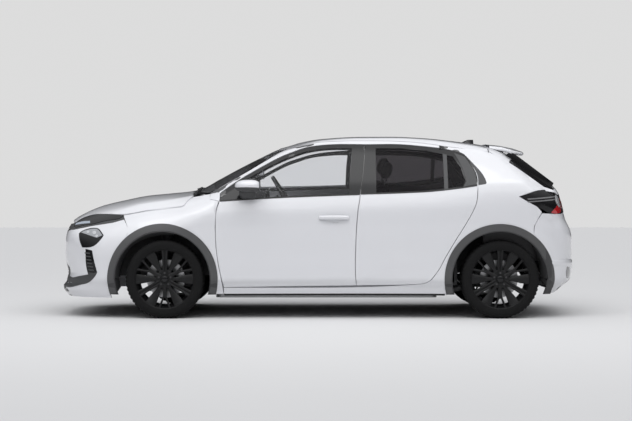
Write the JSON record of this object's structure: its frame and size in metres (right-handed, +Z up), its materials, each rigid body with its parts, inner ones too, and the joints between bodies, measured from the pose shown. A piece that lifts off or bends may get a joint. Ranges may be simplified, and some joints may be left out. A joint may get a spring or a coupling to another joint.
{
  "type": "electric hatchback",
  "caption": "Five-door electric hatchback with opening doors, bonnet and tailgate, steered front wheels and wheels that turn.",
  "frame": {"origin": "on the ground under the middle of the car's bounding box", "axes": "+X towards the nose, +Y towards the car's left side, +Z up"},
  "size_m": [4.2828, 2.068, 1.489],
  "materials": {
    "body_paint": "white pearl paint under clear coat, high gloss",
    "gloss_black": "polished black",
    "black_trim": "fine grain black plastic",
    "arch_trim": "grained dark grey plastic",
    "clear_glass": "clear tempered glass with a light green tint",
    "dark_glass": "dark privacy glass",
    "lamp_lens": "clear moulded lens over a black housing",
    "tail_lens": "red and smoked lens",
    "underbody_metal": "plain cast and folded aluminium, dull",
    "underbody_paint": "satin grey primer and sealer",
    "cast_housing": "sand cast, dull",
    "chassis_iron": "black coated castings and pressings",
    "dash_trim": "soft grained dark trim",
    "seat_cloth": "woven cloth with stitched side panels",
    "wheel_leather": "smooth black leather with stitched seams",
    "tyre_rubber": "black moulded rubber with tread",
    "wheel_black": "satin black paint on cast alloy"
  },
  "bodies": {
    "car_body": {"battery_pack": "underbody_metal", "drive_unit": "cast_housing", "floor_pan": "underbody_paint", "front_bulkhead": "underbody_paint", "left_side_frame": "body_paint", "right_side_frame": "body_paint", "roof_panel": "body_paint", "windscreen": "clear_glass", "front_wings": "body_paint", "front_bumper": "body_paint", "head_lamps": "lamp_lens", "rear_bumper": "body_paint", "tail_lamps": "tail_lens", "wheel_arches": "arch_trim", "dashboard": "dash_trim", "centre_console": "dash_trim", "front_seats": "seat_cloth", "rear_seat": "seat_cloth", "front_suspension": "chassis_iron", "rear_axle": "chassis_iron"},
    "bonnet": {"bonnet": "body_paint"},
    "tailgate": {"tailgate": "body_paint", "rear_window": "dark_glass", "rear_spoiler": "gloss_black"},
    "steering_wheel": {"steering_wheel": "wheel_leather"},
    "left_front_door": {"left_front_door": "body_paint", "left_front_door_glass": "clear_glass", "left_door_mirror": "body_paint"},
    "left_rear_door": {"left_rear_door": "body_paint", "left_rear_door_glass": "dark_glass"},
    "left_front_knuckle": {"left_front_knuckle": "chassis_iron"},
    "left_front_road_wheel": {"left_front_tyre": "tyre_rubber", "left_front_wheel": "wheel_black"},
    "left_rear_road_wheel": {"left_rear_tyre": "tyre_rubber", "left_rear_wheel": "wheel_black"},
    "right_front_door": {"right_front_door": "body_paint", "right_front_door_glass": "clear_glass", "right_door_mirror": "body_paint"},
    "right_rear_door": {"right_rear_door": "body_paint", "right_rear_door_glass": "dark_glass"},
    "right_front_knuckle": {"right_front_knuckle": "chassis_iron"},
    "right_front_road_wheel": {"right_front_tyre": "tyre_rubber", "right_front_wheel": "wheel_black"},
    "right_rear_road_wheel": {"right_rear_tyre": "tyre_rubber", "right_rear_wheel": "wheel_black"}
  },
  "joints": [
    {"name": "left_front_door_hinge", "type": "hinge", "parent": "car_body", "child": "left_front_door", "pos_m": [0.8225, 0.8885, 0.6], "axis": [0, 0, -1], "range_deg": [0, 65]},
    {"name": "left_rear_door_hinge", "type": "hinge", "parent": "car_body", "child": "left_rear_door", "pos_m": [-0.3095, 0.8875, 0.6], "axis": [0, 0, -1], "range_deg": [0, 68]},
    {"name": "left_steer", "type": "hinge", "parent": "car_body", "child": "left_front_knuckle", "pos_m": [1.233, 0.7, 0.318], "axis": [0, 0, 1], "range_deg": [-35, 35]},
    {"name": "left_front_wheel_spin", "type": "hinge", "parent": "left_front_knuckle", "child": "left_front_road_wheel", "pos_m": [1.233, 0.757, 0.318], "axis": [0, 1, 0], "continuous": true},
    {"name": "left_rear_wheel_spin", "type": "hinge", "parent": "car_body", "child": "left_rear_road_wheel", "pos_m": [-1.479, 0.757, 0.318], "axis": [0, 1, 0], "continuous": true},
    {"name": "right_front_door_hinge", "type": "hinge", "parent": "car_body", "child": "right_front_door", "pos_m": [0.8225, -0.8885, 0.6], "axis": [0, 0, 1], "range_deg": [0, 65]},
    {"name": "right_rear_door_hinge", "type": "hinge", "parent": "car_body", "child": "right_rear_door", "pos_m": [-0.3095, -0.8875, 0.6], "axis": [0, 0, 1], "range_deg": [0, 68]},
    {"name": "right_steer", "type": "hinge", "parent": "car_body", "child": "right_front_knuckle", "pos_m": [1.233, -0.7, 0.318], "axis": [0, 0, 1], "range_deg": [-35, 35]},
    {"name": "right_front_wheel_spin", "type": "hinge", "parent": "right_front_knuckle", "child": "right_front_road_wheel", "pos_m": [1.233, -0.757, 0.318], "axis": [0, 1, 0], "continuous": true},
    {"name": "right_rear_wheel_spin", "type": "hinge", "parent": "car_body", "child": "right_rear_road_wheel", "pos_m": [-1.479, -0.757, 0.318], "axis": [0, 1, 0], "continuous": true},
    {"name": "bonnet_hinge", "type": "hinge", "parent": "car_body", "child": "bonnet", "pos_m": [1.008, 0, 1.036], "axis": [0, -1, 0], "range_deg": [0, 55]},
    {"name": "tailgate_hinge", "type": "hinge", "parent": "car_body", "child": "tailgate", "pos_m": [-1.3995, 0, 1.4205], "axis": [0, 1, 0], "range_deg": [0, 80]},
    {"name": "steering_wheel_turn", "type": "hinge", "parent": "car_body", "child": "steering_wheel", "pos_m": [0.272, 0.37, 0.967], "axis": [-0.848, 0, 0.53], "range_deg": [-455, 455]}
  ],
  "couplings": [
    {"joint": "right_steer", "follows": "left_steer", "ratio": 1},
    {"joint": "steering_wheel_turn", "follows": "left_steer", "ratio": 13}
  ]
}
